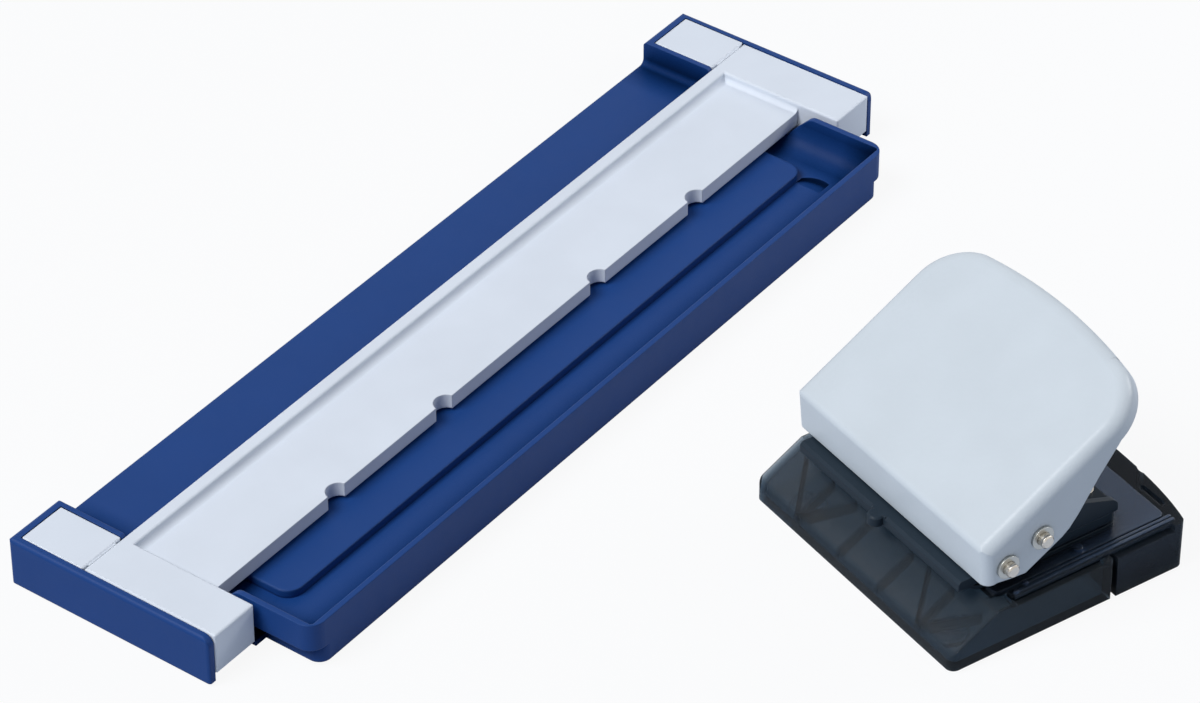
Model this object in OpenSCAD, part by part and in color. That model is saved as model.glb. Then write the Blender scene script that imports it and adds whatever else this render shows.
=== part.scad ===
// Loose-leaf punch with its sheet gauge, in millimetres, Z up, desk at z = 0.
// X runs along the gauge and is zero midway between the notches.
// Y is zero at the front edge of the flap's plate and points to the rear.

/* [Sheet and holes] */
// Length of the sheet edge that gets the holes
sheet_w = 210; // [206:1:214]
// Distance between hole centres
hole_pitch = 9.5; // [9.2:0.1:9.5]
// Diameter of a hole
hole_d = 5.5; // [5:0.1:6]
// Holes along the whole sheet edge
holes_total = 20; // [20:2:22]

/* [Gauge] */
// Height of the arms and end blocks above the desk
gauge_h = 12.9; // [12.5:0.1:14]
// Height of the trough rim above the desk
rim_h = 12.2; // [11.5:0.1:12.4]
// Height of the sheet table above the desk
table_h = 6.7; // [6.4:0.1:7]
// Depth of the flap from the plate's front edge to its rear edge
clamp_d = 24.8; // [24:0.1:26]
// Depth of the sheet table behind the flap
table_d = 19.8; // [18:0.1:22]
// Reach of the flap's arms in front of the plate
arm_reach = 11.4; // [10.5:0.1:12]
// Reach of the trough in front of the plate
trough_reach = 26.2; // [25:0.1:28]
// Thickness of the flap's sunken plate
plate_t = 3.7; // [3.3:0.1:3.9]
// Radius of a notch in the plate's front edge
notch_r = 3; // [2.8:0.1:3.2]
// Wall thickness of the trough and end walls
wall = 1.8; // [1.6:0.1:2]

/* [Punch base] */
// Base beyond the plate stack at each side
base_side = 7; // [6.6:0.1:8]
// Depth of the base at its middle
base_d = 65.7; // [65:0.1:68]
// Height of the deck's raised panel above the desk
deck_h = 13.4; // [13.2:0.1:13.6]
// Height of the tray's upright front wall
tray_front_h = 4.9; // [4.6:0.1:5.2]
// Width of the gap between tray and rear foot block
tray_gap = 1.5; // [1.2:0.1:1.8]
// Height of the slot that takes the sheets
throat_h = 0.8; // [0.7:0.05:0.9]
// Thickness of the guide plate
guide_t = 2.4; // [2.2:0.1:2.6]

/* [Lever] */
// Lever beyond the plate stack at each side
lever_side = 5.35; // [5.3:0.05:5.8]
// Length of the lever's top from its front fold to the handle end
lever_l = 51.9; // [50:0.1:54]
// Tilt of the lever when it is at rest
lever_tilt = 30.5; // [30:0.1:31.5]
// Swing of the lever from rest to fully pressed
lever_travel = 22; // [18:0.5:22]
// Sheet thickness of the lever
lever_t = 1.2; // [1:0.1:1.4]
// Radius of the handle's corners in plan
lever_corner_r = 13.5; // [12:0.5:15]
// Radius of the lever's rounded upper edges
lever_edge_r = 3; // [2.4:0.1:3.2]
// Diameter of the two lever pins
pin_d = 3.2; // [3:0.1:3.4]

/* [Placement] */
// Punch centre along the gauge
punch_x = -15.5; // [-30:0.5:20]
// Punch front edge in front of the plate's edge
punch_y = -100.8; // [-112:0.2:-96]
// Turn of the punch seen from above
punch_yaw = -109; // [-115:1:-100]

/* [Hidden] */
$fn = 64;

// Colours
blue = [0.12, 0.23, 0.48];
white = [0.86, 0.88, 0.92];
smoke = [0.16, 0.18, 0.21];
black = [0.08, 0.08, 0.09];
steel = [0.72, 0.73, 0.75];
rubber = [0.1, 0.1, 0.1];

// Clearances
slide_gap = 0.3;
part_gap = 0.2;
run_gap = 0.05;
foot_gap = 0.12;

// Feet stand proud of every underside by this much
foot_out = 0.6;
foot_seat = 0.8;

// Notches and strokes: a stroke makes six holes and outer strokes share two of them
pins_per_stroke = 6;
outer_notch = (holes_total - pins_per_stroke) / 2 * hole_pitch;
inner_notch = outer_notch - (pins_per_stroke - 2) * hole_pitch;
notch_xs = [-outer_notch, -inner_notch, inner_notch, outer_notch];
notch_set_back = 0.7;

// Gauge, across X
cap_inner = sheet_w / 2 + 3.2;
block_inner = cap_inner - 1.3;
block_foot_r = 1.6;
wall_inner = cap_inner + 13;
gauge_end = wall_inner + wall;
arm_outer = wall_inner - slide_gap;
bed_edge = cap_inner - 0.5;
edge_r = 1;
trough_end = sheet_w / 2 + 1.85;
trough_foot = trough_end - 2.55;
rim_t = wall - 0.45;
trough_foot_r = 5.6;
rest_end = sheet_w / 2 - 9.5;

// Gauge, across Y
rear_y = clamp_d + table_d;
hinge_gap = 0.4;
cap_front = clamp_d + hinge_gap;
cap_rear = rear_y - 2.2;
plate_rear = clamp_d - 3.2;
rim_foot_r = 1.7;
arm_foot_r = 1.4;
trough_front = -trough_reach;
table_front = 4;
rest_front = -10.8;
scoop_r = 6.1;
scoop_lift = 0.5;
scoop_tilt = 16;
scoop_front = -17.6;

// Gauge, up Z
bed_z = foot_out;
arm_floor = 2;
trough_floor = 4;
lip_z = 6.9;
plate_z = table_h + part_gap;
cap_seat = 9;
hinge_y = clamp_d + hinge_gap / 2;
hinge_drop = 0.35;
hinge_z = gauge_h - hinge_drop;
hinge_bevel = 0.3;
web_r = 0.15;
web_end = 2;

// Punch, in its own axes: x along the hole row, y from sheet side to handle
stack_w = pins_per_stroke * hole_pitch - 0.2;
base_w = stack_w + 2 * base_side;
lever_w = stack_w + 2 * lever_side;
half_w = base_w / 2;
side_d = base_d - 3.2;
deck_half = half_w - 1.2;
panel_half = half_w - 3.8;
base_corner_r = 2;
deck_end = side_d - 2.6;
panel_end = base_d - 5.8;
ridge_front = 17.2;
ridge_end = side_d - 1.6;
knob_r = 0.7;
knob_rise = 0.4;
boss_y = 37;
deck_front = 13.2;
deck_z = deck_h - 1.4;
border_h = deck_h - 0.5;
side_gap = 0.8;
gap_front = 17;
gap_rear = 40.5;
runner_rear = 40;
panel_trench = 0.4;
line_half = stack_w / 2 - 7.7;
boss_r = 1.1;
tray_d = 42.8;
tray_t = 1.6;
tray_h = deck_z - 0.1;
slope_end = 12.2;
tray_edge_r = 3.5;
cover_w = 6;
slope = (tray_h - tray_front_h) / slope_end;
rear_front = tray_d + tray_gap;

// Plate stack
stack_rear = 49.3;
die_t = 1;
die_top = deck_h + die_t;
guide_z = die_top + throat_h;
guide_top = guide_z + guide_t;
guide_front = 6.5;
bump_r = 1.9;
bump_bevel = 0.4;
pin_row_y = 24.8;
sheet_stop_y = pin_row_y + 6.5;
chip_half = (pins_per_stroke - 1) / 2 * hole_pitch + hole_d / 2 + 0.8;
rivet_r = 1.5;
rivet_head_r = 2.5;
rivet_head_t = 0.8;
outer_rivet_x = stack_w / 2 - 4.4;
inner_rivet_x = stack_w / 2 - 20.4;
frame_rivet_x = stack_w / 2 - 8.4;
spring_x = stack_w / 2 - 12.4;
outer_rivet_y = sheet_stop_y + 3.9;
inner_rivet_y = stack_rear - 9.1;
spring_y = sheet_stop_y + 4.9;
stack_rivet_at = [[-outer_rivet_x, outer_rivet_y], [outer_rivet_x, outer_rivet_y],
    [-inner_rivet_x, inner_rivet_y], [inner_rivet_x, inner_rivet_y]];
spring_at = [[-spring_x, spring_y], [spring_x, spring_y]];
spring_hole_r = 3.1;

// Lever pins: the front one is the fulcrum, the rear one drives the punches
pivot_y = 14.9;
bracket_rivet_at = [for (y = [pivot_y + 0.4, stack_rear - 3.3], s = [-1, 1]) [s * frame_rivet_x, y]];
pivot_z = 22.2;
drive_a = 9.6;
drive_b = -1.25;
pin_r = pin_d / 2;
pin_half = lever_w / 2 + 2.55;
drive_r = norm([drive_a, drive_b]);
drive_angle = lever_tilt + atan2(drive_b, drive_a);
drive_z = pivot_z + drive_r * sin(drive_angle);
stroke = drive_r * (sin(drive_angle) - sin(drive_angle - lever_travel));

// Push-on washers, counted out from the lever's side wall
washer_out = 0.1;
washer_t = 0.6;
washer_r = 2.8;
pin_bevel = 0.35;

// Pressure plate and punches
press_top = drive_z - pin_r - 0.1;
press_t = 2.6;
press_half = stack_w / 2 - 2.1;
press_front = pin_row_y - 4.3;
press_rear = pin_row_y + 4.7;
tab_r = 3.9;
tab_t = 1.2;
press_z = press_top - press_t;
pin_tip = guide_z + 0.2;

// Return springs
spring_wire = 0.6;
spring_mean_r = 2.2;
spring_turns = 4.5;
spring_rings = 8;
spring_sides = 6;
spring_bottom = die_top + spring_wire / 2;
spring_top = press_z - spring_wire / 2;
spring_rise = (spring_top - spring_bottom) / spring_turns;
echo(spring_least_gap = spring_rise - spring_wire);
echo(punch_stroke = stroke, stroke_per_radian = stroke / (lever_travel * PI / 180));

// Lever outline in its own axes: a along the top, b square to it, from the pivot
lever_top = 8.4;
lever_low = -9;
fold_a = -2.25;
front_low = [-6.6, -0.76];
fold_r = 2;
lever_front_r = 2.6;
// The front's round edges stand this much outside the walls, so that they cross cleanly
front_out = 0.03;
skirt_b = 3;
skirt_edge = [[35.5, skirt_b], [27.5, -0.4], [18.8, -4.8], [15.5, -6.1], [13, -6.5], [2.2, -6.4],
    [-1.2, -4], [-3.9, -1.8], [-5.6, -1.2]];
handle_end_r = 130;
handle_a = fold_a + lever_l;
lever_far = lever_l + 20;
corner_x = lever_w / 2 - lever_corner_r;
end_a = handle_a - handle_end_r;
// Corners stand this much outside the end's arc, so that the two cross cleanly
corner_out = 0.1;
end_reach = handle_end_r - lever_corner_r + corner_out;
corner_a = end_a + sqrt(pow(end_reach, 2) - pow(corner_x, 2));

// A block between two corners
module block(a, b) {
    translate(a) cube(b - a);
}

// A rectangle between two corners, with round corners
module round_rect(a, b, r) {
    translate([a.x + r, a.y]) square([b.x - a.x - 2 * r, b.y - a.y]);
    translate([a.x, a.y + r]) square([b.x - a.x, b.y - a.y - 2 * r]);
    for (x = [a.x + r, b.x - r], y = [a.y + r, b.y - r])
        translate([x, y]) circle(r);
}

// A plate between two corners with round upright edges
module round_plate(a, b, r) {
    translate([0, 0, a.z]) linear_extrude(b.z - a.z) round_rect([a.x, a.y], [b.x, b.y], r);
}

// A block between two corners with all edges rounded
module soft_block(a, b, r) {
    intersection() {
        round_plate(a, b, r);
        translate([0, b.y, 0]) rotate([90, 0, 0]) linear_extrude(b.y - a.y)
            round_rect([a.x, a.z], [b.x, b.z], r);
        along_x(a.x, b.x) round_rect([a.y, a.z], [b.y, b.z], r);
    }
}

// Extrudes a shape drawn in (y, z) along X
module along_x(x0, x1) {
    translate([x0, 0, 0]) rotate([90, 0, 90]) linear_extrude(x1 - x0) children();
}

// A rod along X
module rod_x(x0, x1, r) {
    translate([x0, 0, 0]) rotate([0, 90, 0]) cylinder(r = r, h = x1 - x0);
}

// Repeats the right-hand end of the gauge at the left
module both_ends() {
    children();
    mirror([1, 0, 0]) children();
}

// Puts a piece of the punch where the punch stands
module at_punch() {
    translate([punch_x, punch_y, 0]) rotate([0, 0, punch_yaw]) children();
}

// Puts a piece drawn in the lever's axes onto the pivot
module at_lever() {
    at_punch() translate([0, pivot_y, pivot_z]) rotate([lever_tilt, 0, 0]) children();
}

// Gauge

module end_block() {
    intersection() {
        union() {
            // Floor under the arm and the cap
            block([bed_edge - 1, -arm_reach + 1.9, bed_z], [gauge_end, rear_y, arm_floor]);
            block([trough_foot - 1, -arm_reach + 0.4, bed_z], [bed_edge, clamp_d, arm_floor]);
            // Outer wall with a rounded upper front corner
            along_x(wall_inner, gauge_end) {
                round_rect([-arm_reach + 0.2, arm_floor - 1], [rear_y, gauge_h], 2.4);
                translate([-arm_reach + 0.2, bed_z]) square([rear_y + arm_reach - 0.2, 5]);
                translate([rear_y - 5, bed_z]) square([5, gauge_h - bed_z]);
            }
            rear_block();
        }
        // Soft outer and rear edges
        translate([0, rear_y, 0]) rotate([90, 0, 0]) linear_extrude(rear_y + arm_reach) {
            square([gauge_end - edge_r, gauge_h]);
            square([gauge_end, gauge_h - edge_r]);
            translate([gauge_end - edge_r, gauge_h - edge_r]) circle(edge_r);
        }
        along_x(0, gauge_end) {
            translate([-arm_reach, 0]) square([rear_y + arm_reach - edge_r, gauge_h]);
            translate([-arm_reach, 0]) square([rear_y + arm_reach, gauge_h - edge_r]);
            translate([rear_y - edge_r, gauge_h - edge_r]) circle(edge_r);
        }
    }
}

// Block behind the flap that takes the cap, with a hollow rounding down to the table
module rear_block() {
    difference() {
        union() {
            block([block_inner, cap_front, bed_z], [gauge_end, rear_y, gauge_h]);
            block([block_inner - block_foot_r, cap_front, bed_z],
                [gauge_end, rear_y, table_h + block_foot_r]);
        }
        translate([block_inner - block_foot_r, cap_front - 1, table_h + block_foot_r]) rotate([-90, 0, 0])
            cylinder(r = block_foot_r, h = rear_y);
        block([cap_inner, cap_front - 1, cap_seat], [wall_inner, cap_rear, gauge_h + 1]);
        // Front edge falls away under the folded flap
        translate([0, cap_front, gauge_h]) along_x(block_inner - 1, cap_inner + 1)
            polygon([[-1, -0.6], [0, -0.6], [0.6, 0], [0.6, 1], [-1, 1]]);
    }
}

// Side view of the trough's walls: level rim, and end walls that slope down to the flap's plate
module trough_side() {
    slope_top = -5.3;
    drop = rim_h - 6.5;
    polygon([[trough_front, lip_z - wall], [trough_front, rim_h], [slope_top - 1, rim_h],
        [slope_top - 0.2, rim_h - 0.2], [slope_top + 0.6, rim_h - 0.7],
        [0, rim_h - drop], [0, lip_z - wall]]);
}

// Cut through the trough's hollow from its middle to one wall, with a large round foot
module hollow_cut(half, top) {
    r = trough_foot_r;
    translate([0, trough_floor]) square([half - r, top - trough_floor]);
    translate([0, trough_floor + r]) square([half, top - trough_floor - r]);
    translate([half - r, trough_floor + r]) circle(r);
}

module trough() {
    half = trough_end - rim_t;
    difference() {
        union() {
            round_plate([-trough_foot, trough_front, bed_z], [trough_foot, clamp_d, lip_z - 0.6], 3);
            intersection() {
                round_plate([-trough_end, trough_front, 0], [trough_end, clamp_d, gauge_h], 4);
                along_x(-trough_end, trough_end) trough_side();
            }
        }
        // Hollow, open to the rear under the plate
        intersection() {
            translate([0, clamp_d, 0]) rotate([90, 0, 0]) linear_extrude(clamp_d + trough_reach) {
                hollow_cut(half, gauge_h);
                mirror([1, 0]) hollow_cut(half, gauge_h);
            }
            along_x(-trough_end, trough_end) translate([clamp_d, 0])
                mirror([1, 0]) hollow_cut(clamp_d + trough_reach - rim_t, gauge_h);
            round_plate([-half - 0.4, trough_front + rim_t - 0.3, 0],
                [half + 0.4, clamp_d + 9, gauge_h], 2);
        }
    }
}

module gauge_bed() {
    color(blue) difference() {
        union() {
            // Sheet table with the end blocks, rounded at its rear corners
            intersection() {
                union() {
                    block([-bed_edge, table_front, bed_z], [bed_edge, rear_y, table_h]);
                    both_ends() end_block();
                }
                round_plate([-gauge_end, -arm_reach, 0], [gauge_end, rear_y, gauge_h + 1], edge_r);
            }
            trough();
        }
        // Hollows under the table, between ribs
        for (i = [-2.5:2.5])
            block([i * 32 - 15, 9, 0], [i * 32 + 15, 29, table_h - 1.6]);
        // Shallow scoop in the trough's floor near one end
        intersection() {
            translate([sheet_w / 2 - 14.6, rest_front - 4.6, trough_floor + scoop_lift])
                rotate([0, scoop_tilt, 0]) cylinder(r = scoop_r, h = table_h);
            block([0, scoop_front, 0], [trough_foot, rest_front, trough_floor + 3]);
        }
        // Seats of the anti-slip strips
        for (y = foot_strip_ys)
            round_plate([-foot_strip_l / 2 - foot_gap, y - foot_strip_w / 2 - foot_gap, 0],
                [foot_strip_l / 2 + foot_gap, y + foot_strip_w / 2 + foot_gap, bed_z + foot_seat], 2);
    }
}

foot_strip_l = 190;
foot_strip_w = 7;
foot_strip_ys = [0, rear_y - 8];

module gauge_feet() {
    color(rubber) for (y = foot_strip_ys)
        round_plate([-foot_strip_l / 2, y - foot_strip_w / 2, 0],
            [foot_strip_l / 2, y + foot_strip_w / 2, bed_z + foot_seat], 2);
}

module paper_rest() {
    color(blue) intersection() {
        round_plate([-rest_end, rest_front, trough_floor], [rest_end, clamp_d, table_h - 0.6], 4);
        block([-rest_end, rest_front, 0], [rest_end, table_front - part_gap, gauge_h]);
    }
}

module clamp_arm() {
    difference() {
        soft_block([cap_inner, -arm_reach, arm_floor + 0.4], [arm_outer, clamp_d, gauge_h], 0.5);
        // Hollow under the arm
        block([cap_inner + wall, -arm_reach + wall, 0], [arm_outer - wall, clamp_d - wall, gauge_h - wall]);
    }
}

// Hollow rounding in the corner at the foot of a step
module step_foot(r) {
    difference() {
        translate([-r, -0.5]) square(r + 0.5);
        translate([-r, r]) circle(r + 0.02);
    }
}

module paper_clamp() {
    color(white) difference() {
        union() {
            both_ends() clamp_arm();
            soft_block([-cap_inner - 1, plate_rear, plate_z], [cap_inner + 1, clamp_d, gauge_h], 0.5);
            block([-cap_inner - 1, 0, plate_z], [cap_inner + 1, plate_rear + 1, plate_z + plate_t]);
            // Hollow roundings from the plate up to the rear rim and the arms
            along_x(-cap_inner - 0.6, cap_inner + 0.6)
                translate([plate_rear, plate_z + plate_t]) step_foot(rim_foot_r);
            both_ends() translate([0, plate_rear + 0.3, 0]) rotate([90, 0, 0])
                linear_extrude(plate_rear + 0.3)
                    translate([cap_inner, plate_z + plate_t]) step_foot(arm_foot_r);
        }
        // Notches that take the punch's bump
        for (x = notch_xs)
            translate([x, -notch_set_back, plate_z - 1]) cylinder(r = notch_r, h = plate_t + 2);
        // Groove and socket along the folding web
        both_ends() translate([0, hinge_y, hinge_z]) {
            rod_x(cap_inner - 1.2, arm_outer + 1, web_r + 0.06);
            translate([0, -hinge_gap / 2, hinge_drop]) along_x(cap_inner - 1.2, arm_outer + 1)
                polygon([[1, -hinge_bevel], [0, -hinge_bevel], [-hinge_bevel, 0], [-hinge_bevel, 1], [1, 1]]);
        }
    }
}

module hinge_cap() {
    difference() {
        union() {
            intersection() {
                soft_block([cap_inner + 0.12, cap_front, cap_seat],
                    [wall_inner - 0.12, cap_rear - 0.1, gauge_h], 0.3);
                round_plate([cap_inner, cap_front - 0.1, 0], [wall_inner, cap_rear, gauge_h + 1], 1);
            }
            // Folding web, with an open slit at each of its ends
            translate([0, hinge_y, hinge_z]) {
                rod_x(cap_inner + web_end, wall_inner - web_end, web_r);
                block([cap_inner + web_end, 0, -web_r], [wall_inner - web_end, hinge_gap, web_r]);
            }
        }
        // Front edge falls away so that the flap can fold back
        translate([0, cap_front, gauge_h]) along_x(cap_inner - 1, wall_inner + 1)
            polygon([[-1, -hinge_bevel], [0, -hinge_bevel], [hinge_bevel, 0], [hinge_bevel, 1], [-1, 1]]);
    }
}

module hinge_cap_right() {
    color(white) hinge_cap();
}

module hinge_cap_left() {
    color(white) mirror([1, 0, 0]) hinge_cap();
}

// Punch base and tray

// Rear edge of the base at a place across it
function rear_edge(x) = base_d - (base_d - side_d) * pow(abs(x) / half_w, 3.3);

// Plan of the base with its bulged rear edge and round rear corners
module base_plan() {
    steps = 24;
    r = base_corner_r;
    corner = rear_edge(half_w - r) - r;
    intersection() {
        polygon(concat([[-half_w, deck_front], [half_w, deck_front]],
            [for (i = [0:steps]) let (x = half_w * (1 - 2 * i / steps)) [x, rear_edge(x)]]));
        union() {
            translate([-half_w, 0]) square([base_w, corner]);
            translate([r - half_w, 0]) square([base_w - 2 * r, base_d + 1]);
            for (s = [-1, 1]) translate([s * (half_w - r), corner]) circle(r + 0.02);
        }
    }
}

// Front ends of the two ridges along each side
ridge_at = [[deck_half - 0.75, ridge_front + 0.1], [deck_half - 1.9, ridge_front + 3.4]];

// Plan of the deck: narrower than the base beside the tray, with its front corners cut back
module deck_plan() {
    difference() {
        base_plan();
        for (s = [-1, 1]) translate([s * half_w, 0]) {
            square([2 * (half_w - deck_half), 2 * deck_end], center = true);
            translate([0, deck_front])
                square(2 * [half_w - panel_half + 0.6, ridge_front - deck_front], center = true);
        }
    }
}

module punch_base() {
    color(smoke) at_punch() difference() {
        union() {
            // Deck with a lower border and a raised panel
            translate([0, 0, deck_z]) linear_extrude(border_h - deck_z) deck_plan();
            for (s = [-1, 1]) {
                // Two ridges along each side
                for (at = ridge_at) translate([s * at.x, 0, 0]) {
                    round_plate([-0.4, at.y, deck_z], [0.4, ridge_end, deck_h], 0.35);
                    // Knob at the front end
                    translate([0, at.y + knob_r, deck_z]) {
                        cylinder(r = knob_r, h = deck_h - deck_z);
                        translate([0, 0, deck_h - deck_z])
                            cylinder(r1 = knob_r, r2 = knob_r - knob_rise / 2, h = knob_rise);
                    }
                }
            }
            panel(deck_h);
            // Small bosses beside the lever
            for (s = [-1, 1]) translate([s * (panel_half - 1.2), boss_y, deck_z])
                cylinder(r = boss_r, h = deck_h + 1.2 - deck_z);
            // Foot block at the rear
            intersection() {
                translate([0, 0, foot_out]) linear_extrude(deck_z - foot_out) base_plan();
                block([-base_w, rear_front, 0], [base_w, base_d + 5, deck_h]);
            }
            // Runners that guide the tray
            for (s = [-1, 1])
                translate([s * (half_w - tray_t - 1.3), 0, 0])
                    block([-0.9, gap_front, deck_z - 2.6], [0.9, runner_rear, deck_z + 0.2]);
        }
        // Hollow of the foot block
        block([-20, rear_front + 2, 0], [20, base_d - 4, deck_z - 1.4]);
        // Opening under the die for the chips
        block([-chip_half, pin_row_y - 3.6, 0], [chip_half, pin_row_y + 3.6, deck_h + 1]);
        // Slits in the rear border, finger dips in the rear edge, and a line across the panel
        for (s = [-1, 1]) {
            translate([s * 24.5, base_d - 3.5, border_h - 0.6])
                round_plate([-3.8, -0.6, 0], [3.8, 0.6, 2], 0.5);
            translate([s * 16.5, base_d + 1.8, 0]) cylinder(r = 2.4, h = deck_h + 1);
            // Gap under the deck's side edge
            block([s > 0 ? deck_half - 0.9 : -base_w, rear_front - 1, deck_z - side_gap],
                [s > 0 ? base_w : -deck_half + 0.9, deck_end, deck_z]);
        }
        stack_holes(deck_z - 1, deck_h + 1);
        // Trench around the raised panel, with the panel standing in it
        difference() {
            round_plate([-panel_half - panel_trench, 0, border_h - panel_trench],
                [panel_half + panel_trench, panel_end + panel_trench, deck_h + 1], 1.5 + panel_trench);
            panel(deck_h + 2);
        }
        translate([0, base_d - 13.3, deck_h]) cube([2 * line_half, 0.35, 0.4], center = true);
        foot_holes(base_foot_at);
    }
}

// Raised panel of the deck, up to a given height
module panel(top) {
    round_plate([-panel_half, deck_front + 0.8, deck_z], [panel_half, panel_end, top], 1.5);
}

// Ribs under the sloped front: two fans of three and two straight ones
rib_t = 0.9;
fan_x = half_w - 13.8;
fan_tips = [half_w - 22.4, half_w - 14, half_w - 4];
straight_x = half_w - 28.4;
rib_end = 11;

module rib(from, to) {
    run = to - from;
    translate([from.x, from.y, 0]) rotate([0, 0, atan2(run.y, run.x)])
        block([0, -rib_t / 2, 0], [norm(run), rib_t / 2, deck_h]);
}

// Side view of the space under the slope, a given depth below its face
module under_slope(depth, thick) {
    drop = depth / cos(atan(slope));
    deep = (depth + thick) / cos(atan(slope));
    polygon([[0, tray_front_h - drop], [slope_end, tray_h - drop],
        [slope_end, tray_h - deep], [0, tray_front_h - deep]]);
}

// Side view of the tray, with a round edge between its front wall and the slope
module tray_side() {
    r = tray_edge_r;
    out = [-sin(atan(slope)), cos(atan(slope))];
    centre = [r, tray_front_h - r / tan(45 + atan(slope) / 2)];
    intersection() {
        polygon([[0, foot_out], [0, tray_front_h], [slope_end, tray_h],
            [tray_d, tray_h], [tray_d, foot_out]]);
        union() {
            translate(centre) circle(r + 0.03);
            polygon([[-1, foot_out - 1], [-1, centre.y], [0, centre.y], centre + r * out, centre + 30 * out,
                [tray_d + 1, base_d], [tray_d + 1, foot_out - 1]]);
        }
    }
}

module chip_tray() {
    cut = tray_t / cos(atan(slope));
    color(smoke) at_punch() {
        difference() {
            intersection() {
                along_x(-half_w, half_w) tray_side();
                round_plate([-half_w, 0, 0], [half_w, base_d, deck_h], 2);
            }
            // Hollow, open at the top behind the slope
            intersection() {
                along_x(-half_w, half_w) polygon([[tray_t, foot_out + 1.4],
                    [tray_t, tray_front_h + slope * tray_t - cut],
                    [slope_end + cut / slope, tray_h], [slope_end + cut / slope, base_d],
                    [tray_d - tray_t, base_d], [tray_d - tray_t, foot_out + 1.4]]);
                round_plate([-half_w + tray_t, tray_t, 0], [half_w - tray_t, base_d, base_d], 1.2);
            }
            // Rear wall is low, so that it passes under the runners and rivets
            block([-half_w + tray_t, tray_d - 3, tray_h - 3], [half_w - tray_t, tray_d + 1, deck_h]);
            // Gap under the deck's side edge
            for (s = [-1, 1]) translate([s * half_w, 0, 0])
                block([-tray_t - 0.1, gap_front, tray_h - side_gap], [tray_t + 0.1, gap_rear, deck_h]);
            foot_holes(tray_foot_at);
        }
        // Covers over the tray's corners in front of the ridges
        for (s = [-1, 1]) translate([s * half_w, 0, 0])
            block([s > 0 ? -cover_w : tray_t - 0.2, slope_end - 0.5, tray_h - tray_t],
                [s > 0 ? 0.2 - tray_t : cover_w, gap_front - 0.3, tray_h]);
        intersection() {
            along_x(-half_w, half_w) under_slope(tray_t - 0.2, 2.6);
            union() for (s = [-1, 1]) {
                for (x = fan_tips) rib([s * fan_x, tray_t - 0.4], [s * x, rib_end]);
                rib([s * straight_x, tray_t - 0.4], [s * straight_x, rib_end]);
            }
        }
    }
}

// Rubber feet
foot_r = 4;
base_foot_x = half_w - 8;
tray_foot_x = half_w - 10;
base_foot_y = base_d - 10.5;
tray_foot_y = 7.4;
base_foot_at = [[-base_foot_x, base_foot_y], [base_foot_x, base_foot_y]];
tray_foot_at = [[-tray_foot_x, tray_foot_y], [tray_foot_x, tray_foot_y]];

module foot_holes(places) {
    for (p = places)
        translate([p.x, p.y, 0]) cylinder(r = foot_r + foot_gap, h = foot_out + foot_seat);
}

module feet(places) {
    color(rubber) at_punch() for (p = places)
        translate([p.x, p.y, 0]) cylinder(r = foot_r, h = foot_out + foot_seat);
}

module base_feet() {
    feet(base_foot_at);
}

module tray_feet() {
    feet(tray_foot_at);
}

// Plate stack

module stack_holes(z0, z1) {
    for (p = stack_rivet_at)
        translate([p.x, p.y, z0]) cylinder(r = rivet_r + run_gap, h = z1 - z0);
}

// Holes for the punches, or the punches themselves
module punch_row(r, z0, z1) {
    for (i = [0:pins_per_stroke - 1])
        translate([(i - (pins_per_stroke - 1) / 2) * hole_pitch, pin_row_y, z0])
            cylinder(r = r, h = z1 - z0);
}

module die_plate() {
    color(black) at_punch() difference() {
        round_plate([-stack_w / 2, 10.5, deck_h], [stack_w / 2, stack_rear, die_top], 2);
        punch_row(hole_d / 2 + run_gap, deck_h - 1, die_top + 1);
        stack_holes(deck_h - 1, die_top + 1);
    }
}

module throat_spacer() {
    color(black) at_punch() difference() {
        round_plate([-stack_w / 2 + 0.4, sheet_stop_y, die_top],
            [stack_w / 2 - 0.4, stack_rear - 0.4, guide_z], 2);
        stack_holes(die_top - 1, guide_z + 1);
        for (p = spring_at)
            translate([p.x, p.y, die_top - 1]) cylinder(r = spring_hole_r, h = throat_h + 2);
    }
}

module guide_plate() {
    color(black) at_punch() difference() {
        union() {
            round_plate([-stack_w / 2, guide_front, guide_z], [stack_w / 2, stack_rear, guide_top], 2);
            block([-stack_w / 2, guide_front, guide_z], [stack_w / 2, guide_front + 4, guide_top]);
            // Bump that sits in a notch of the gauge
            translate([0, guide_front - 0.6, guide_z]) {
                cylinder(r = bump_r, h = guide_t - bump_bevel);
                translate([0, 0, guide_t - bump_bevel])
                    cylinder(r1 = bump_r, r2 = bump_r - bump_bevel, h = bump_bevel);
            }
        }
        // Bevel along the front edge, on both sides of the bump
        for (s = [-1, 1])
            translate([s * (stack_w / 4 + bump_r), guide_front, guide_top])
                rotate([45, 0, 0]) cube([stack_w / 2 - bump_r + 1, 0.9, 0.9], center = true);
        punch_row(hole_d / 2 + run_gap, guide_z - 1, guide_top + 1);
        stack_holes(guide_z - 1, guide_top + 1);
        for (p = bracket_rivet_at)
            translate([p.x, p.y, guide_z - 1]) cylinder(r = rivet_r + run_gap, h = guide_t + 2);
        for (p = spring_at)
            translate([p.x, p.y, guide_z - 1]) cylinder(r = spring_hole_r, h = guide_t + 2);
    }
}

module rivet(p, z0, z1, head_below) {
    translate([p.x, p.y, 0]) {
        translate([0, 0, z0]) cylinder(r = rivet_r, h = z1 - z0 + 0.1);
        translate([0, 0, z1]) cylinder(r = rivet_head_r, h = rivet_head_t);
        if (head_below) translate([0, 0, z0 - rivet_head_t]) cylinder(r = rivet_head_r, h = rivet_head_t);
    }
}

module stack_rivets() {
    color(steel) at_punch() for (p = stack_rivet_at) rivet(p, deck_z, guide_top, true);
}

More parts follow.
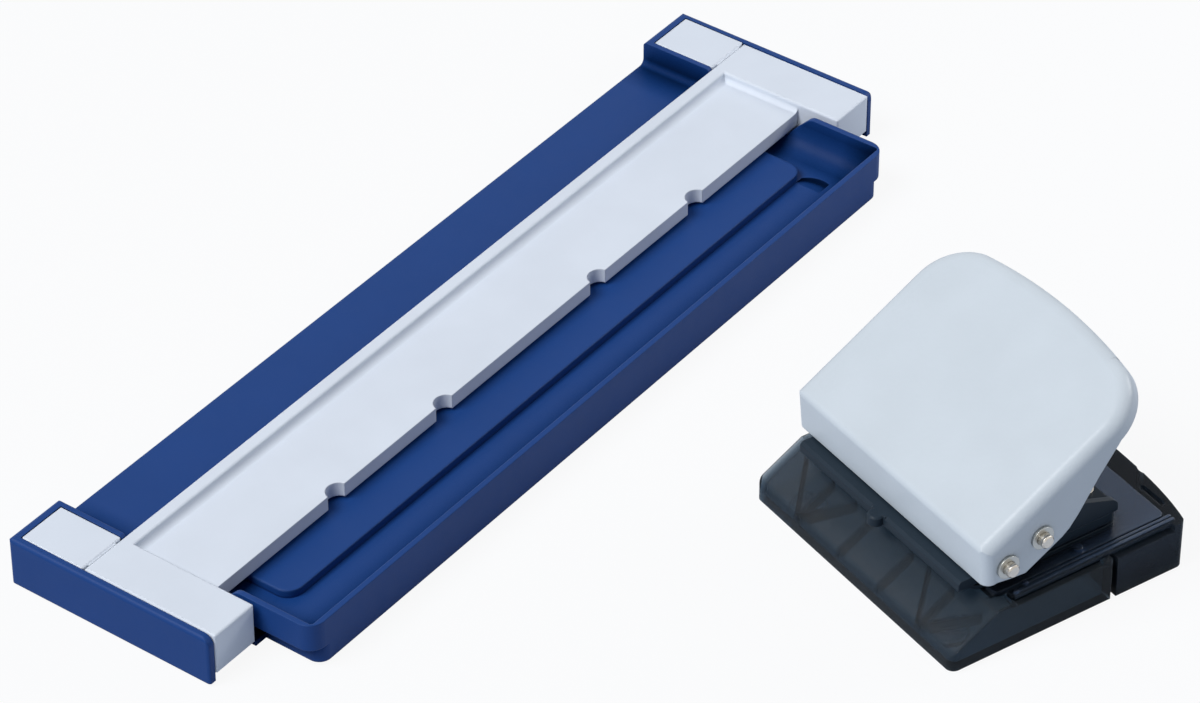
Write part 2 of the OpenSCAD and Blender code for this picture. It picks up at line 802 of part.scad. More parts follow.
// Frame that carries the lever: two cheeks joined by a web at the front and one at the rear
bracket_t = 1.2;
cheek_t = 1.4;
ear_r = 3.5;
cheek_low = guide_top + 2;
cheek_top = 25.5;
cheek_rear = stack_rear - 0.1;
cheek_corner_r = 2.5;
cheek_fall = 20.1;
rear_web_y = 43;

// Side view of a cheek: round front ear, gap for the rear pin, rear part falling towards the handle
module cheek_side() {
    ear_front = pivot_y - ear_r;
    fall_from = 35.4;
    corner_y = cheek_rear - cheek_corner_r;
    corner_z = cheek_top - (corner_y - fall_from) * tan(cheek_fall) - cheek_corner_r / cos(cheek_fall);
    translate([ear_front, guide_top]) square([2 * ear_r, pivot_z - guide_top]);
    translate([pivot_y, pivot_z]) circle(ear_r);
    translate([ear_front, guide_top])
        square([cheek_rear - cheek_corner_r - ear_front, cheek_low - guide_top]);
    polygon(concat([[28, guide_top], [28, cheek_top], [fall_from, cheek_top]],
        [for (i = [0:6]) let (t = 90 - cheek_fall - (90 - cheek_fall) * i / 6)
            [corner_y, corner_z] + cheek_corner_r * [cos(t), sin(t)]],
        [[cheek_rear, guide_top]]));
}

module pivot_bracket() {
    half = stack_w / 2;
    color(black) at_punch() difference() {
        union() {
            for (y = [[pivot_y - ear_r, pivot_y + ear_r + 0.8], [rear_web_y, cheek_rear]])
                block([-half, y[0], guide_top], [half, y[1], guide_top + bracket_t]);
            for (s = [-1, 1])
                along_x(s > 0 ? half - cheek_t : -half, s > 0 ? half : cheek_t - half) cheek_side();
        }
        translate([0, pivot_y, pivot_z]) rod_x(-base_w, base_w, pin_r + run_gap);
        for (p = bracket_rivet_at)
            translate([p.x, p.y, guide_top - 1]) cylinder(r = rivet_r + run_gap, h = bracket_t + 2);
    }
}

module bracket_rivets() {
    color(steel) at_punch() for (p = bracket_rivet_at)
        rivet(p, guide_z + 0.1, guide_top + bracket_t, false);
}

// Lever pins with their push-on washers

module lever_pin() {
    rod_x(-pin_half + pin_bevel, pin_half - pin_bevel, pin_r);
    for (s = [-1, 1]) translate([s * (pin_half - pin_bevel), 0, 0]) rotate([0, s * 90, 0])
        cylinder(r1 = pin_r, r2 = pin_r - pin_bevel, h = pin_bevel);
}

module pin_washers() {
    for (s = [-1, 1]) translate([s * (lever_w / 2 + washer_out + washer_t / 2), 0, 0]) difference() {
        rod_x(-washer_t / 2, washer_t / 2, washer_r);
        rod_x(-washer_t, washer_t, pin_r + run_gap);
    }
}

module at_drive() {
    at_lever() translate([0, drive_a, drive_b]) children();
}

module pivot_pin() {
    color(steel) at_lever() lever_pin();
}

module pivot_washers() {
    color(steel) at_lever() pin_washers();
}

module drive_pin() {
    color(steel) at_drive() lever_pin();
}

module drive_washers() {
    color(steel) at_drive() pin_washers();
}

// Lever

// Half of a cut through the lever's edge, from x0 to a given radius, with its rounded upper corner
module edge_cut(x0, radius, inset) {
    r = lever_edge_r - inset;
    top = lever_top - inset;
    translate([x0, lever_low]) square([radius - inset - x0, top - r - lever_low]);
    translate([x0, lever_low]) square([radius - inset - r - x0, top - lever_low]);
    translate([radius - inset - r, top - r]) circle(r);
}

// Solid shape of the lever with rounded upper edges, a given distance inside its outer face
module lever_solid(inset) {
    top = lever_top - inset;
    intersection() {
        union() {
            // Straight part
            translate([0, corner_a, 0]) rotate([90, 0, 0]) linear_extrude(corner_a + 15) {
                edge_cut(0, lever_w / 2, inset);
                mirror([1, 0]) edge_cut(0, lever_w / 2, inset);
            }
            // Corners of the handle
            for (s = [0, 1])
                mirror([s, 0, 0]) translate([corner_x, corner_a, 0])
                    rotate_extrude(angle = 90) edge_cut(0, lever_corner_r, inset);
            block([-corner_x, corner_a, lever_low], [corner_x, handle_a + 5, top]);
        }
        // Shallow arc of the handle's end
        translate([0, end_a, 0]) rotate_extrude($fn = 360) edge_cut(0, handle_end_r, inset);
    }
}

// Side view of the lever: front wall, round fold, top, and the lower edge of its side walls
module lever_side() {
    lean = [fold_a, lever_top] - front_low;
    up = lean / norm(lean);
    inward = [up.y, -up.x];
    run = (lever_top - fold_r - front_low.y - inward.y * fold_r) / up.y;
    centre = front_low + up * run + inward * fold_r;
    start = atan2(-inward.y, -inward.x);
    fold = [for (i = [0:12]) let (t = start + (90 - start) * i / 12)
        centre + fold_r * [cos(t), sin(t)]];
    polygon(concat(fold, [[lever_far, lever_top], [lever_far, skirt_b]], skirt_edge, [front_low]));
}

// Side view of the space inside the lever, open below
module lever_hollow() {
    lean = [fold_a, lever_top] - front_low;
    up = lean / norm(lean);
    inner = front_low + [up.y, -up.x] * lever_t;
    reach = lever_top * 1.5;
    polygon([inner - up * reach, inner + up * reach, [lever_far, reach], [lever_far, -reach]]);
}

// Keeps what lies behind the front wall, with round upright edges between it and the side walls
module behind_front(inset) {
    lean = [fold_a, lever_top] - front_low;
    r = lever_front_r - inset;
    translate([0, front_low.x, front_low.y]) rotate([atan2(lean.y, lean.x) - 90, 0, 0])
        translate([0, 0, -20]) linear_extrude(lever_far)
            round_rect([-lever_w / 2 + inset - front_out, inset - front_out],
                [lever_w / 2 - inset + front_out, lever_far + lever_l], r);
}

module lever() {
    color(white) at_lever() difference() {
        intersection() {
            lever_solid(0);
            along_x(-lever_w, lever_w) lever_side();
            behind_front(0);
        }
        intersection() {
            lever_solid(lever_t);
            along_x(-lever_w, lever_w) lever_hollow();
            behind_front(lever_t);
        }
        rod_x(-lever_w, lever_w, pin_r + run_gap);
        translate([0, drive_a, drive_b]) rod_x(-lever_w, lever_w, pin_r + run_gap);
    }
}

// Punching parts

module pressure_plate() {
    color(steel) at_punch() {
        round_plate([-press_half, press_front, press_z], [press_half, press_rear, press_top], 1.5);
        for (p = spring_at)
            round_plate([p.x - tab_r, press_rear - 1.5, press_z],
                [p.x + tab_r, p.y + tab_r, press_z + tab_t], 1.2);
    }
}

module punch_pins() {
    color(steel) at_punch() difference() {
        punch_row(hole_d / 2, pin_tip, press_z);
        // Hollow-ground cutting ends
        translate([0, pin_row_y, pin_tip - 0.3]) rotate([45, 0, 0]) cube([base_w, 1.6, 1.6], center = true);
    }
}

// A coil: one unbroken tube of straight-sided rings along a helix with short straight ends
function coil_point(t) = [spring_mean_r * cos(360 * t), spring_mean_r * sin(360 * t),
    spring_bottom + spring_rise * t];
function coil_run(t) = let (k = 2 * PI * spring_mean_r,
    v = [-k * sin(360 * t), k * cos(360 * t), spring_rise]) v / norm(v);
function coil_ring(centre, t) = let (out = [cos(360 * t), sin(360 * t), 0],
    side = cross(coil_run(t), out))
    [for (j = [0:spring_sides - 1]) let (q = 360 * j / spring_sides)
        centre + spring_wire / 2 * (cos(q) * out + sin(q) * side)];

module coil() {
    count = round(spring_turns * spring_rings);
    inner = [for (i = [0:count]) i / spring_rings];
    last = spring_turns;
    rings = concat(
        [coil_ring(coil_point(0) - spring_wire * coil_run(0), 0)],
        [for (t = inner) coil_ring(coil_point(t), t)],
        [coil_ring(coil_point(last) + spring_wire * coil_run(last), last)]);
    n = len(rings);
    points = [for (r = rings) each r];
    m = spring_sides;
    sides = [for (i = [0:n - 2], j = [0:m - 1]) let (k = (j + 1) % m)
        each [[i * m + j, i * m + k, (i + 1) * m + k], [i * m + j, (i + 1) * m + k, (i + 1) * m + j]]];
    first_end = [for (j = [m - 1:-1:0]) j];
    last_end = [for (j = [0:m - 1]) (n - 1) * m + j];
    polyhedron(points, concat([first_end], sides, [last_end]));
}

module return_springs() {
    color(steel) at_punch() for (p = spring_at) translate([p.x, p.y, 0]) coil();
}

gauge_bed();
paper_rest();
paper_clamp();
hinge_cap_left();
hinge_cap_right();
gauge_feet();
punch_base();
chip_tray();
die_plate();
throat_spacer();
guide_plate();
stack_rivets();
pivot_bracket();
bracket_rivets();
pivot_pin();
pivot_washers();
lever();
drive_pin();
drive_washers();
pressure_plate();
punch_pins();
return_springs();
base_feet();
tray_feet();
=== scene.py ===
"""Looks of the loose-leaf punch with its gauge: materials, light and the photograph's camera."""
import bpy
import math
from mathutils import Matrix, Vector


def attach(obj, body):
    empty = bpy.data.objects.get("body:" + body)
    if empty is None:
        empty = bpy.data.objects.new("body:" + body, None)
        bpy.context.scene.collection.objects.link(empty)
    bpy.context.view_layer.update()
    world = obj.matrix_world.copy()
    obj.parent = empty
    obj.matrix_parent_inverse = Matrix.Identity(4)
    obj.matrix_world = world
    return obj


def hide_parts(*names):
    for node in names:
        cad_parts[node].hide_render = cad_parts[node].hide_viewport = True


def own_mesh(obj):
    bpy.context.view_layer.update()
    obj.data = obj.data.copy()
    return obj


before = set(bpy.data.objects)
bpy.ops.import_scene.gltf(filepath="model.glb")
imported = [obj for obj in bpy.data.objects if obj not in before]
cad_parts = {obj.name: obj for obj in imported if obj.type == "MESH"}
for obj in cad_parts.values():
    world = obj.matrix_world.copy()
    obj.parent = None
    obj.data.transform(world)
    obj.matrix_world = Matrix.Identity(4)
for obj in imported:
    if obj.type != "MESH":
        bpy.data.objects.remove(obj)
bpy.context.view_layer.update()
scene = bpy.context.scene
scene.view_settings.view_transform = "Standard"

# Camera, fitted to the photograph: level, without roll
PHOTO_WIDTH = 1200
FOCAL_PIXELS = 5298.86
SENSOR_WIDTH = 36.0
CLIP_NEAR, CLIP_FAR = 0.01, 20.0
AZIMUTH = math.radians(-53.353)
ELEVATION = math.radians(38.371)
DISTANCE = 1.20448
TARGET = Vector((0.017268, -0.009001, 0.0))

# The punch stands turned on the desk, with its pins along this direction
PUNCH_TURN = math.radians(-109.0)
ALONG_PINS = (math.cos(PUNCH_TURN), math.sin(PUNCH_TURN), 0.0)

# Places in the smoke plastic, as pairs from start to full effect, in metres
PANEL_STEP = (0.0132, 0.0133)
# The tray's two places set where its painted light lies
TRAY_LOW_EDGE = (0.0084, 0.0054)
TRAY_FAR_END = (-0.0805, -0.0775)

# Smoke plastic: its clear share, and what its thickness swallows
CLEAR_DARKER, CLEAR_LIGHTER = (0.58, 0.65, 0.70), (0.65, 0.72, 0.77)
# Paler clear colour on the tray's slope, painted light
CLEAR_SLOPE_LIT = (0.96, 0.95, 0.93)
# Paler clear colour along edges, a painted highlight
CLEAR_EDGE_HIGHLIGHT = (0.7, 0.75, 0.8)
WALL_IOR = 1.14
SOAK_COLOUR = (0.545, 0.625, 0.685)
SOAK_DENSITY = 1480.0

# Samples of the rounded-edge node, and sockets of the colour mix node
BEVEL_SAMPLES = 6
MIX_SHARE, MIX_FIRST, MIX_SECOND, MIX_RESULT = 0, 6, 7, 2

# Floor and lamps, in metres and watts
FLOOR_HALF = 6.0
FLOOR_DROP = 0.0002
FLOOR_COLOUR = (0.55, 0.61, 0.71)
AMBIENT_COLOUR = (0.88, 0.95, 1.12)
AMBIENT_STRENGTH = 0.19
WHITE_LIGHT = (1.0, 1.0, 1.0)
WHITE_STRENGTH = 1.0
KEY_PLACE, KEY_AIM = (-1.42, 0.56, 2.08), (0.0, -0.05, 0.0)
KEY_SIZE, KEY_POWER = 1.5, 62.5
FILL_PLACE, FILL_AIM = (0.36, -0.28, 0.22), (0.11, -0.01, 0.0)
FILL_SIZE, FILL_POWER = 0.2, 0.6


def add_camera():
    """The photograph's camera, looking at the target from its distance."""
    back = Vector((
        math.sin(AZIMUTH) * math.cos(ELEVATION),
        -math.cos(AZIMUTH) * math.cos(ELEVATION),
        math.sin(ELEVATION),
    ))
    data = bpy.data.cameras.new("camera")
    data.sensor_fit = "HORIZONTAL"
    data.sensor_width = SENSOR_WIDTH
    data.lens = FOCAL_PIXELS / PHOTO_WIDTH * SENSOR_WIDTH
    data.clip_start = CLIP_NEAR
    data.clip_end = CLIP_FAR
    cam = bpy.data.objects.new("camera", data)
    cam.location = TARGET + back * DISTANCE
    cam.rotation_euler = back.to_track_quat("Z", "Y").to_euler()
    scene.collection.objects.link(cam)
    scene.camera = cam


# Node helpers
def new_material(name):
    """A new material, its node tree and its main shader."""
    mat = bpy.data.materials.new(name)
    mat.use_nodes = True
    tree = mat.node_tree
    return mat, tree, tree.nodes["Principled BSDF"]


def scaled(colour, factor):
    """The colour made lighter or darker, never above white."""
    return tuple(min(1.0, c * factor) for c in colour)


def put(tree, value, socket):
    """Sets a plain number or colour on the socket itself, and links anything else to it."""
    if isinstance(value, float):
        socket.default_value = value
    elif isinstance(value, tuple):
        socket.default_value = (*value, 1.0)
    else:
        tree.links.new(value, socket)


def calc(tree, operation, *values):
    """Math on one or two values."""
    made = tree.nodes.new("ShaderNodeMath")
    made.operation = operation
    for value, socket in zip(values, made.inputs):
        put(tree, value, socket)
    return made.outputs[0]


def ramp(tree, value, low, high, start=0.0, stop=1.0):
    """Maps start..stop to low..high, and holds there beyond."""
    made = tree.nodes.new("ShaderNodeMapRange")
    made.inputs["From Min"].default_value = start
    made.inputs["From Max"].default_value = stop
    made.inputs["To Min"].default_value = low
    made.inputs["To Max"].default_value = high
    tree.links.new(value, made.inputs["Value"])
    return made.outputs["Result"]


def mix_colour(tree, share, first, second):
    """The first colour where share is 0, the second where it is 1."""
    made = tree.nodes.new("ShaderNodeMix")
    made.data_type = "RGBA"
    tree.links.new(share, made.inputs[MIX_SHARE])
    put(tree, first, made.inputs[MIX_FIRST])
    put(tree, second, made.inputs[MIX_SECOND])
    return made.outputs[MIX_RESULT]


def mix_shader(tree, share, first, second):
    """The first shader where share is 0, the second where it is 1."""
    made = tree.nodes.new("ShaderNodeMixShader")
    for value, socket in zip((share, first, second), made.inputs):
        tree.links.new(value, socket)
    return made.outputs[0]


def own_place(tree):
    """A point's place in the model's own coordinates."""
    return tree.nodes.new("ShaderNodeTexCoord").outputs["Object"]


def face_normal(tree):
    """The direction that the surface faces."""
    return tree.nodes.new("ShaderNodeNewGeometry").outputs["Normal"]


def split(tree, vector):
    """X, Y and Z of a vector."""
    made = tree.nodes.new("ShaderNodeSeparateXYZ")
    tree.links.new(vector, made.inputs[0])
    return made.outputs


def dot(tree, first, second):
    """How far two directions agree, from -1 to 1."""
    made = tree.nodes.new("ShaderNodeVectorMath")
    made.operation = "DOT_PRODUCT"
    tree.links.new(first, made.inputs[0])
    if isinstance(second, tuple):
        made.inputs[1].default_value = second
    else:
        tree.links.new(second, made.inputs[1])
    return made.outputs["Value"]


def noise_texture(tree, vector, scale, detail, rough):
    """Noise over the given coordinates."""
    made = tree.nodes.new("ShaderNodeTexNoise")
    made.inputs["Scale"].default_value = scale
    made.inputs["Detail"].default_value = detail
    made.inputs["Roughness"].default_value = rough
    tree.links.new(vector, made.inputs["Vector"])
    return made.outputs["Fac"]


def noise(tree, size, detail=3.0):
    """Noise whose features measure about size metres."""
    return noise_texture(tree, own_place(tree), scale=1.0 / size, detail=detail, rough=0.55)


def openness(tree, reach, samples, alone):
    """High where nothing stands within reach of the surface; alone counts only the piece itself."""
    made = tree.nodes.new("ShaderNodeAmbientOcclusion")
    made.samples = samples
    made.only_local = alone
    made.inputs["Distance"].default_value = reach
    return made.outputs["AO"]


def soft_edges(tree, radius):
    """Normal with rounded edges, and a mask that is high along those edges."""
    bevel = tree.nodes.new("ShaderNodeBevel")
    bevel.samples = BEVEL_SAMPLES
    bevel.inputs["Radius"].default_value = radius
    normal = bevel.outputs["Normal"]
    agree = dot(tree, normal, face_normal(tree))
    return normal, ramp(tree, agree, low=0.0, high=1.0, start=1.0, stop=0.75)


def bump(tree, height, distance, strength, normal=None):
    """Normal with fine relief of the given height, on top of another normal if there is one."""
    made = tree.nodes.new("ShaderNodeBump")
    made.inputs["Distance"].default_value = distance
    made.inputs["Strength"].default_value = strength
    tree.links.new(height, made.inputs["Height"])
    if normal is not None:
        tree.links.new(normal, made.inputs["Normal"])
    return made.outputs["Normal"]


# Materials
def moulded(name, base, worn, rough, grain, edge, coat=0.0, shine=0.5, nook_shade=0.0):
    """Moulded or painted surface: fine grain, faint mottling, rounded edges that are a little paler, and
    if asked, painted shade in deep corners.
    """
    mat, tree, bsdf = new_material(name)
    normal, mask = soft_edges(tree, edge)
    mottle = noise(tree, size=0.018, detail=2.0)
    body = mix_colour(tree, mottle, scaled(base, 0.93), scaled(base, 1.05))
    scuffs = ramp(tree, noise(tree, size=0.0015), low=0.1, high=0.8)
    skin = mix_colour(tree, calc(tree, "MULTIPLY", mask, scuffs), body, worn)
    gloss = shine
    if nook_shade:
        # Painted shade: deep corners are darker, and duller with less shine
        open_share = openness(tree, reach=0.01, samples=8, alone=True)
        corner_shade = ramp(tree, open_share, low=nook_shade, high=0.0, start=0.6, stop=0.97)
        skin = mix_colour(tree, corner_shade, skin, scaled(base, 0.1))
        gloss = ramp(tree, open_share, low=0.0, high=shine, start=0.8)
    blur = ramp(tree, noise(tree, size=0.004), low=rough - 0.05, high=rough + 0.07)
    grit = bump(tree, noise(tree, grain, detail=4.0), distance=grain * 0.12, strength=0.35, normal=normal)
    put(tree, skin, bsdf.inputs["Base Color"])
    put(tree, gloss, bsdf.inputs["Specular IOR Level"])
    put(tree, blur, bsdf.inputs["Roughness"])
    put(tree, grit, bsdf.inputs["Normal"])
    bsdf.inputs["Coat Weight"].default_value = coat
    bsdf.inputs["Coat Roughness"].default_value = 0.12
    return mat


def painted_light_on_slope(tree, upward, level):
    """Where light is painted on the tray's sloped wall: high towards its lower edge and at its far end.
    """
    place = split(tree, own_place(tree))
    low = ramp(tree, place["Z"], 0.0, 1.0, *TRAY_LOW_EDGE)
    end = ramp(tree, place["Y"], 0.0, 1.0, *TRAY_FAR_END)
    leaning = ramp(tree, upward, low=0.0, high=1.0, start=0.72, stop=0.8)
    slope = calc(tree, "MULTIPLY", calc(tree, "MAXIMUM", low, end), leaning)
    slope_light_share = calc(tree, "SUBTRACT", slope, level)
    slope_light_share.node.use_clamp = True
    return slope_light_share


def shade_under_lever(tree):
    """Where shade is painted: high on places that another piece hangs over, open for the piece alone but
    not among all.
    """
    by_itself = openness(tree, reach=0.015, samples=16, alone=True)
    among_all = openness(tree, reach=0.015, samples=16, alone=False)
    gap = calc(tree, "SUBTRACT", by_itself, among_all)
    return ramp(tree, gap, low=0.0, high=0.97, start=0.12, stop=0.5)


def smoke_plastic(name, haze, dull, top, body, edge_highlight, edge=0.0, panel=None):
    """Smoke-coloured translucent moulding: thick places swallow more light, so the ribs show through.

    Haze is the cloudy share, dull the roughness of the clear share, and top the IOR of level tops.
    Body is the cloudy colour of faces, and cloud the paler cloudy colour along edges, a painted
    highlight. With a panel colour it is the deck, with its raised panel, painted paler, and painted shade
    under the lever. Without one it is the tray, with painted light on its slope, and edge is its cloudy
    share along edges.
    """
    mat, tree, bsdf = new_material(name)
    normal, mask = soft_edges(tree, radius=0.0004)
    clear = mix_colour(tree, noise(tree, size=0.012, detail=2.0), CLEAR_DARKER, CLEAR_LIGHTER)
    tint = mix_colour(tree, noise(tree, size=0.008, detail=2.0), scaled(body, 0.9), scaled(body, 1.1))
    # Level tops are polished, walls and slopes are dull
    upward = split(tree, face_normal(tree))["Z"]
    level = ramp(tree, upward, low=0.0, high=1.0, start=0.9, stop=0.98)
    polished = level
    if panel:
        # The raised panel is shinier than its border. Painted light and shade: the panel is painted
        # paler, and the border's level tops darker.
        raised = ramp(tree, split(tree, own_place(tree))["Z"], 0.0, 1.0, *PANEL_STEP)
        tint = mix_colour(tree, level, tint, scaled(body, 0.45))
        tint = mix_colour(tree, raised, tint, panel)
        polished = calc(tree, "MULTIPLY", level, ramp(tree, raised, low=0.1, high=1.0))
    else:
        # Painted light: the tray's slope is paler towards its lower edge and far end
        clear = mix_colour(tree, painted_light_on_slope(tree, upward, level), clear, CLEAR_SLOPE_LIT)
    # Painted highlight: the plastic is paler along its edges
    clear = mix_colour(tree, ramp(tree, mask, low=0.0, high=0.3), clear, CLEAR_EDGE_HIGHLIGHT)
    tint = mix_colour(tree, ramp(tree, mask, low=0.0, high=0.7), tint, edge_highlight)
    if panel:
        # Painted shade: the deck is darker under the lever, where its cloudy share also grows
        shade_or_edge_share = shade_under_lever(tree)
        tint = mix_colour(tree, shade_or_edge_share, tint, scaled(body, 0.1))
    else:
        # On the tray, edges take more of the cloudy share, in the painted highlight colour
        shade_or_edge_share = ramp(tree, mask, low=0.0, high=edge)
    polish = ramp(tree, polished, low=WALL_IOR, high=top)
    blur = noise(tree, size=0.003)
    # Clear share
    put(tree, clear, bsdf.inputs["Base Color"])
    put(tree, ramp(tree, blur, low=dull * 0.8, high=dull * 1.2), bsdf.inputs["Roughness"])
    put(tree, normal, bsdf.inputs["Normal"])
    put(tree, polish, bsdf.inputs["IOR"])
    bsdf.inputs["Transmission Weight"].default_value = 0.97
    # Cloudy share
    milk = tree.nodes.new("ShaderNodeBsdfPrincipled")
    grit = noise(tree, size=0.0006, detail=2.0)
    put(tree, tint, milk.inputs["Base Color"])
    put(tree, ramp(tree, blur, low=0.2, high=0.28), milk.inputs["Roughness"])
    put(tree, bump(tree, grit, distance=0.00002, strength=0.05, normal=normal), milk.inputs["Normal"])
    put(tree, polish, milk.inputs["IOR"])
    clouds = ramp(tree, noise(tree, size=0.02, detail=2.0), low=haze - 0.04, high=haze + 0.04)
    cloudy = calc(tree, "MAXIMUM", clouds, shade_or_edge_share)
    plastic = mix_shader(tree, cloudy, bsdf.outputs[0], milk.outputs[0])
    # Light reaches the inside through the walls
    shadow = tree.nodes.new("ShaderNodeLightPath").outputs["Is Shadow Ray"]
    open_way = tree.nodes.new("ShaderNodeBsdfTransparent")
    out = tree.nodes["Material Output"]
    put(tree, mix_shader(tree, shadow, plastic, open_way.outputs[0]), out.inputs["Surface"])
    soak = tree.nodes.new("ShaderNodeVolumeAbsorption")
    put(tree, SOAK_COLOUR, soak.inputs["Color"])
    put(tree, SOAK_DENSITY, soak.inputs["Density"])
    put(tree, soak.outputs[0], out.inputs["Volume"])
    return mat


def metal(name, base, dark, rough, grain_scale):
    """Turned or rolled metal with fine lines along the pins."""
    mat, tree, bsdf = new_material(name)
    normal, mask = soft_edges(tree, radius=0.0002)
    turned = tree.nodes.new("ShaderNodeMapping")
    turned.inputs["Rotation"].default_value = (0.0, 0.0, -PUNCH_TURN)
    turned.inputs["Scale"].default_value = grain_scale
    tree.links.new(own_place(tree), turned.inputs["Vector"])
    lines = noise_texture(tree, turned.outputs["Vector"], scale=1.0, detail=4.0, rough=0.6)
    streak = ramp(tree, lines, low=0.0, high=1.0, start=0.38, stop=0.6)
    # Painted reflection: faces across the pins are brighter than their sides, whose dark streaks are fine
    # lines and also painted reflection
    end = calc(tree, "ABSOLUTE", dot(tree, face_normal(tree), ALONG_PINS))
    streak_and_glint = calc(tree, "MAXIMUM", streak, ramp(tree, end, low=-0.6, high=0.9))
    body = mix_colour(tree, streak_and_glint, dark, base)
    skin = mix_colour(tree, ramp(tree, mask, low=0.0, high=0.5), body, scaled(base, 1.25))
    put(tree, skin, bsdf.inputs["Base Color"])
    put(tree, ramp(tree, lines, low=rough * 0.75, high=rough * 1.3), bsdf.inputs["Roughness"])
    put(tree, bump(tree, lines, distance=0.00002, strength=0.25, normal=normal), bsdf.inputs["Normal"])
    bsdf.inputs["Metallic"].default_value = 1.0
    return mat


def rubber(name, dark, light):
    """Dull rubber with fine pores."""
    mat, tree, bsdf = new_material(name)
    pores = noise(tree, size=0.0003)
    put(tree, mix_colour(tree, noise(tree, size=0.002), dark, light), bsdf.inputs["Base Color"])
    put(tree, ramp(tree, noise(tree, size=0.001), low=0.7, high=0.9), bsdf.inputs["Roughness"])
    put(tree, bump(tree, pores, distance=0.00005, strength=0.5), bsdf.inputs["Normal"])
    return mat


BLUE_BASE, BLUE_WORN = (0.008, 0.046, 0.194), (0.03, 0.085, 0.27)
# Both blue mouldings carry painted shade in their deep corners
BLUE = moulded(
    "blue_plastic", BLUE_BASE, BLUE_WORN,
    rough=0.42, grain=0.00035, edge=0.00045, shine=0.16, nook_shade=0.9,
)
REST_BLUE = moulded(
    "blue_rest", BLUE_BASE, BLUE_WORN,
    rough=0.42, grain=0.00035, edge=0.001, shine=0.16, nook_shade=0.9,
)
WHITE = moulded(
    "white_plastic", (0.682, 0.736, 0.815), (0.75, 0.80, 0.86),
    rough=0.45, grain=0.0004, edge=0.0004, shine=0.25,
)
ENAMEL = moulded(
    "white_enamel", (0.59, 0.65, 0.70), (0.65, 0.70, 0.745),
    rough=0.3, grain=0.0011, edge=0.0003, coat=0.05, shine=0.2,
)
BLACK = moulded(
    "black_steel", (0.018, 0.029, 0.042), (0.055, 0.07, 0.085),
    rough=0.36, grain=0.0003, edge=0.0003, shine=0.1,
)
SMOKE = smoke_plastic(
    "smoke_plastic", haze=0.1, dull=0.03, top=1.24,
    body=(0.026, 0.036, 0.046), edge_highlight=(0.05, 0.06, 0.07), edge=0.5,
)
# The deck's panel colour is painted paler than its body, as painted light
SMOKE_DECK = smoke_plastic(
    "smoke_deck", haze=0.65, dull=0.24, top=1.36,
    body=(0.022, 0.034, 0.052), edge_highlight=(0.1, 0.12, 0.15), panel=(0.066, 0.115, 0.21),
)
STEEL = metal(
    "bare_steel", (0.66, 0.63, 0.58), (0.30, 0.26, 0.21),
    rough=0.24, grain_scale=(200.0, 2200.0, 2200.0),
)
RING = metal(
    "ring_steel", (0.50, 0.51, 0.49), (0.36, 0.37, 0.35),
    rough=0.32, grain_scale=(400.0, 4000.0, 4000.0),
)
RUBBER = rubber("foot_rubber", (0.012, 0.012, 0.013), (0.03, 0.03, 0.031))
# Pale, so that no dark foot shows through the tray
PALE_RUBBER = rubber("pale_rubber", (0.62, 0.64, 0.67), (0.7, 0.72, 0.75))

# Pieces that are not listed are bare steel
LOOKS = {
    "gauge_bed": BLUE,
    "paper_rest": REST_BLUE,
    "paper_clamp": WHITE,
    "hinge_cap_left": WHITE,
    "hinge_cap_right": WHITE,
    "punch_base": SMOKE_DECK,
    "chip_tray": SMOKE,
    "lever": ENAMEL,
    "die_plate": BLACK,
    "guide_plate": BLACK,
    "throat_spacer": BLACK,
    "pivot_bracket": BLACK,
    "pivot_washers": RING,
    "drive_washers": RING,
    "gauge_feet": RUBBER,
    "base_feet": RUBBER,
    "tray_feet": PALE_RUBBER,
}


def dress():
    """Gives each CAD piece its material."""
    for name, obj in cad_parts.items():
        look = LOOKS.get(name, STEEL)
        if obj.data.materials:
            for i in range(len(obj.data.materials)):
                obj.data.materials[i] = look
        else:
            obj.data.materials.append(look)


def shorten_springs():
    """A copy of the return springs with its own mesh, carried by the punch, in place of the hidden CAD
    piece.
    """
    coils = bpy.data.objects.new("return_coils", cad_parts["return_springs"].data.copy())
    scene.collection.objects.link(coils)
    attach(coils, "punch")
    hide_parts("return_springs")
    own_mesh(coils)


# Floor and light
def seen_share(tree, direct, mirrored, through):
    """Share of white in the background for camera rays, mirror rays and rays through glass."""
    path = tree.nodes.new("ShaderNodeLightPath").outputs
    camera = calc(tree, "MULTIPLY", path["Is Camera Ray"], direct)
    mirror = calc(tree, "MULTIPLY", path["Is Glossy Ray"], mirrored)
    glass = calc(tree, "MULTIPLY", path["Is Transmission Ray"], through)
    return calc(tree, "MAXIMUM", calc(tree, "MAXIMUM", camera, mirror), glass)


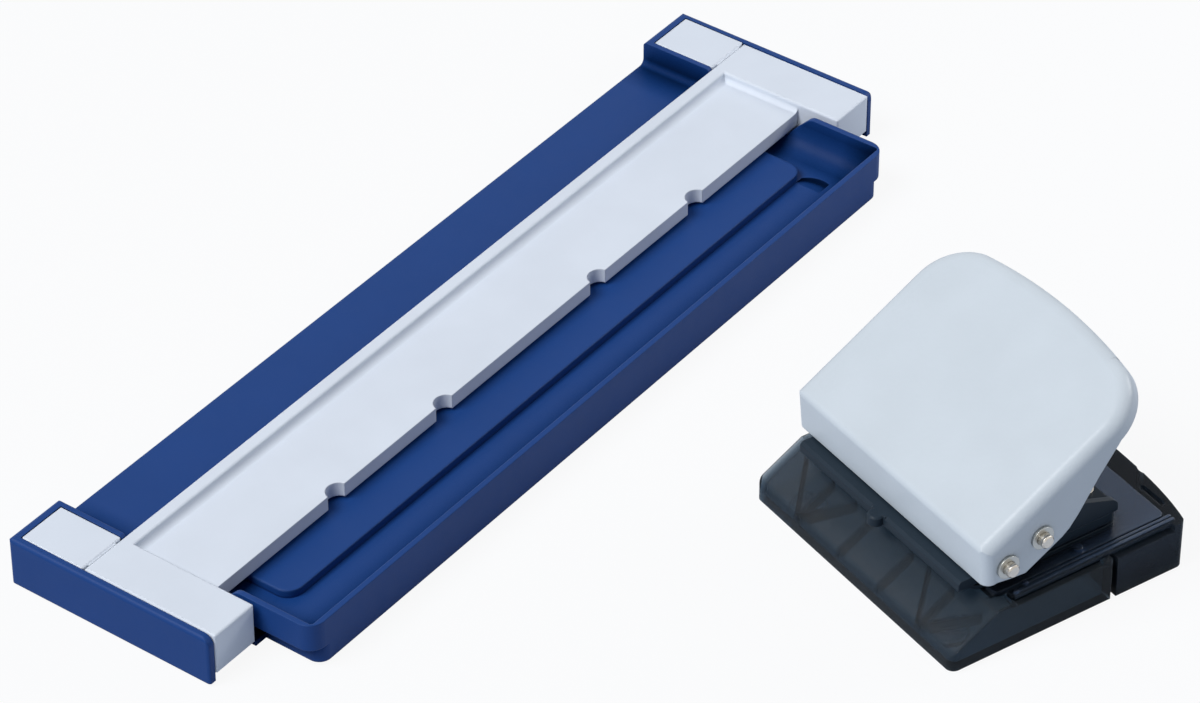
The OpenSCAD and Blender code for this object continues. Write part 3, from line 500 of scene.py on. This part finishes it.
def add_floor():
    """Wide floor that shows as white and keeps the object's shadow."""
    mesh = bpy.data.meshes.new("floor")
    corners = [(x * FLOOR_HALF, y * FLOOR_HALF, 0) for x, y in ((-1, -1), (1, -1), (1, 1), (-1, 1))]
    mesh.from_pydata(corners, [], [(0, 1, 2, 3)])
    floor = bpy.data.objects.new("floor", mesh)
    floor.location.z = -FLOOR_DROP
    scene.collection.objects.link(floor)
    mat, tree, bsdf = new_material("floor")
    put(tree, FLOOR_COLOUR, bsdf.inputs["Base Color"])
    bsdf.inputs["Roughness"].default_value = 0.9
    bsdf.inputs["Specular IOR Level"].default_value = 0.1
    glow = tree.nodes.new("ShaderNodeEmission")
    put(tree, WHITE_LIGHT, glow.inputs["Color"])
    put(tree, WHITE_STRENGTH, glow.inputs["Strength"])
    white = seen_share(tree, direct=0.92, mirrored=0.22, through=0.35)
    mixed = mix_shader(tree, white, bsdf.outputs[0], glow.outputs[0])
    put(tree, mixed, tree.nodes["Material Output"].inputs["Surface"])
    mesh.materials.append(mat)


def add_world():
    """Low bluish light from all round, and white where the camera, mirrors or glass see it."""
    world = bpy.data.worlds.new("studio")
    world.use_nodes = True
    scene.world = world
    tree = world.node_tree
    ambient = tree.nodes["Background"]
    put(tree, AMBIENT_COLOUR, ambient.inputs["Color"])
    put(tree, AMBIENT_STRENGTH, ambient.inputs["Strength"])
    white = tree.nodes.new("ShaderNodeBackground")
    put(tree, WHITE_LIGHT, white.inputs["Color"])
    put(tree, WHITE_STRENGTH, white.inputs["Strength"])
    share = seen_share(tree, direct=1.0, mirrored=1.0, through=1.0)
    mixed = mix_shader(tree, share, ambient.outputs[0], white.outputs[0])
    put(tree, mixed, tree.nodes["World Output"].inputs["Surface"])


def add_lamp(name, place, aim, size, power):
    """Round white lamp, not seen through the smoke plastic."""
    data = bpy.data.lights.new(name, "AREA")
    data.shape = "DISK"
    data.size = size
    data.energy = power
    lamp = bpy.data.objects.new(name, data)
    lamp.location = place
    lamp.rotation_euler = (Vector(place) - Vector(aim)).to_track_quat("Z", "Y").to_euler()
    lamp.visible_transmission = False
    scene.collection.objects.link(lamp)


add_camera()
dress()
shorten_springs()
add_floor()
add_world()
add_lamp("key", KEY_PLACE, KEY_AIM, KEY_SIZE, KEY_POWER)
add_lamp("fill", FILL_PLACE, FILL_AIM, FILL_SIZE, FILL_POWER)
